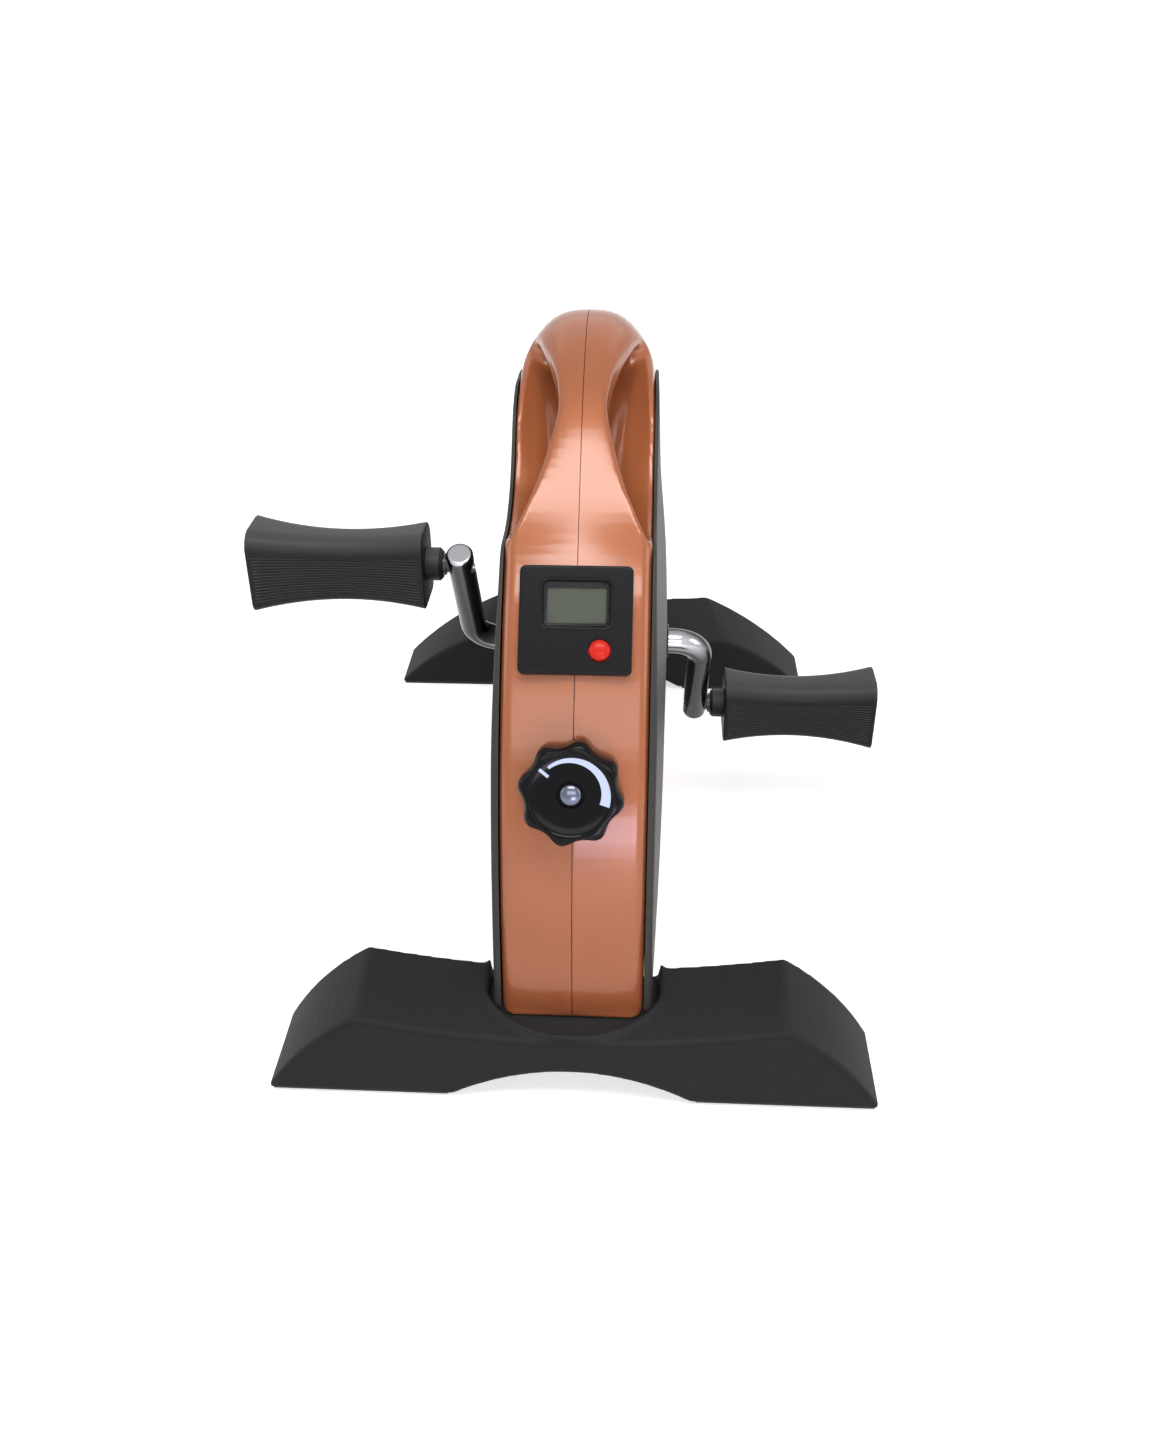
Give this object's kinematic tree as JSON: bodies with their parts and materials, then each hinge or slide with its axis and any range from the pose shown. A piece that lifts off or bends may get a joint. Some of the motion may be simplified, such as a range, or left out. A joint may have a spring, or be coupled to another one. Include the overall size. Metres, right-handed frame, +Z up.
{
  "type": "mini exercise bike",
  "caption": "Mini exercise bike with a housing on two arched feet, a carrying handle, display, tension knob, crank and pedals.",
  "frame": {"origin": "on the floor under the middle of the bike", "axes": "+Z up, +Y from the display side to the back, +X to the right of someone facing the display"},
  "size_m": [0.39, 0.5144, 0.3738],
  "materials": {
    "copper_paint": "moulded plastic in satin metallic copper paint",
    "textured_plastic": "fine grained black moulding",
    "pedal_plastic": "black moulding with fine ribs",
    "cover_plastic": "satin black",
    "gloss_black": "glossy black",
    "console_plastic": "satin black",
    "red_plastic": "glossy red",
    "chrome": "polished",
    "steel": "machined",
    "cast_iron": "turned",
    "rubber": "black",
    "felt": "felt",
    "board_green": "solder mask",
    "display_grey": "reflective display",
    "clear": "clear window"
  },
  "bodies": {
    "stand": {"left_shell": "copper_paint", "right_shell": "copper_paint", "left_cover": "cover_plastic", "right_cover": "cover_plastic", "front_foot": "textured_plastic", "rear_foot": "textured_plastic", "front_left_pad": "rubber", "front_right_pad": "rubber", "rear_left_pad": "rubber", "rear_right_pad": "rubber", "front_foot_bolt": "steel", "rear_foot_bolt": "steel", "base_beam": "steel", "crank_post": "steel", "left_fork_plate": "steel", "right_fork_plate": "steel", "left_crank_bearing": "steel", "right_crank_bearing": "steel", "left_crank_bush": "textured_plastic", "right_crank_bush": "textured_plastic", "drive_belt": "rubber", "flywheel_axle": "steel", "left_axle_nut": "steel", "right_axle_nut": "steel", "spindle_bush": "textured_plastic", "brake_guide": "steel", "console_housing": "console_plastic", "display_lens": "clear", "display_panel": "display_grey", "circuit_board": "board_green", "battery_cell": "steel", "console_back": "textured_plastic", "reed_sensor": "textured_plastic", "sensor_lead": "textured_plastic", "shell_screw_1": "steel", "shell_screw_2": "steel", "shell_screw_3": "steel", "shell_screw_4": "steel"},
    "crank_set": {"crank": "chrome", "crank_circlip": "steel", "drive_pulley": "textured_plastic", "speed_magnet": "steel", "left_pedal_spindle": "steel", "right_pedal_spindle": "steel", "left_pedal_nut": "steel", "right_pedal_nut": "steel"},
    "left_pedal_set": {"left_pedal": "pedal_plastic", "left_pedal_cap": "pedal_plastic"},
    "right_pedal_set": {"right_pedal": "pedal_plastic", "right_pedal_cap": "pedal_plastic"},
    "flywheel_set": {"flywheel": "cast_iron", "left_flywheel_bearing": "steel", "right_flywheel_bearing": "steel", "flywheel_pulley": "steel"},
    "knob_set": {"tension_knob": "gloss_black", "knob_screw": "chrome", "knob_spindle": "steel"},
    "brake": {"brake_carrier": "steel", "brake_pad": "felt"},
    "button": {"reset_button": "red_plastic"}
  },
  "joints": [
    {"name": "flywheel_spin", "type": "hinge", "parent": "stand", "child": "flywheel_set", "pos_m": [0, -0.10961, 0.1389], "axis": [1, 0, 0], "continuous": true},
    {"name": "crank_spin", "type": "hinge", "parent": "stand", "child": "crank_set", "pos_m": [0, -0.027, 0.1707], "axis": [1, 0, 0], "continuous": true},
    {"name": "left_pedal_spin", "type": "hinge", "parent": "crank_set", "child": "left_pedal_set", "pos_m": [-0.147, -0.07155, 0.24368], "axis": [1, 0, 0], "continuous": true},
    {"name": "right_pedal_spin", "type": "hinge", "parent": "crank_set", "child": "right_pedal_set", "pos_m": [0.147, 0.01755, 0.09772], "axis": [1, 0, 0], "continuous": true},
    {"name": "knob_turn", "type": "hinge", "parent": "stand", "child": "knob_set", "pos_m": [0, -0.20623, 0.18], "axis": [0, 0.9202, -0.3914], "range_deg": [0, 270]},
    {"name": "brake_slide", "type": "slide", "parent": "stand", "child": "brake", "axis": [0, 0.9202, -0.3914], "range_m": [0, 0.003]},
    {"name": "button_press", "type": "slide", "parent": "stand", "child": "button", "axis": [0, 0.7957, -0.6057], "range_m": [0, 0.0012], "stiffness_N_per_m": 500}
  ],
  "couplings": [
    {"joint": "crank_spin", "follows": "flywheel_spin", "ratio": 0.26667},
    {"joint": "knob_turn", "follows": "brake_slide", "rad_per_m": 1570.8}
  ]
}
